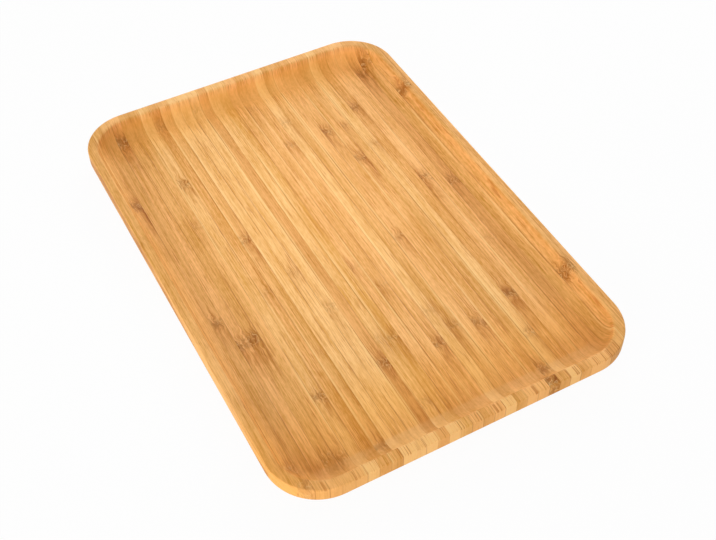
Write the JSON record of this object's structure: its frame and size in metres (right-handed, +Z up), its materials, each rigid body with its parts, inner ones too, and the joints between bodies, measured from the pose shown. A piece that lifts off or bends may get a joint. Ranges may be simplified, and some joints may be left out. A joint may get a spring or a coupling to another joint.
{
  "type": "bamboo serving tray",
  "caption": "Shallow rectangular serving tray with rounded corners, a flat rim, a coved recess and a bevelled underside, milled from bamboo strips glued side by side.",
  "frame": {"origin": "middle of the base, on the surface that the tray stands on", "axes": "+Y along the strips, which is the tray's length; +X across the strips; +Z up, out of the recess"},
  "size_m": [0.22, 0.32, 0.018],
  "materials": {
    "bamboo_pale": "oiled satin",
    "bamboo_straw": "oiled satin",
    "bamboo_honey": "oiled satin",
    "bamboo_amber": "oiled satin"
  },
  "bodies": {
    "root": {"left_edge_strip": "bamboo_honey", "strip_02": "bamboo_honey", "strip_03": "bamboo_honey", "strip_04": "bamboo_straw", "strip_05": "bamboo_honey", "strip_06": "bamboo_honey", "strip_07": "bamboo_pale", "strip_08": "bamboo_straw", "strip_09": "bamboo_honey", "strip_10": "bamboo_pale", "strip_11": "bamboo_pale", "strip_12": "bamboo_pale", "strip_13": "bamboo_amber", "strip_14": "bamboo_pale", "strip_15": "bamboo_pale", "strip_16": "bamboo_straw", "strip_17": "bamboo_straw", "strip_18": "bamboo_straw", "strip_19": "bamboo_pale", "strip_20": "bamboo_honey", "strip_21": "bamboo_straw", "strip_22": "bamboo_straw", "strip_23": "bamboo_straw", "strip_24": "bamboo_honey", "strip_25": "bamboo_pale", "strip_26": "bamboo_straw", "strip_27": "bamboo_straw", "strip_28": "bamboo_straw", "strip_29": "bamboo_amber", "strip_30": "bamboo_honey", "strip_31": "bamboo_honey", "right_edge_strip": "bamboo_straw"}
  },
  "joints": []
}
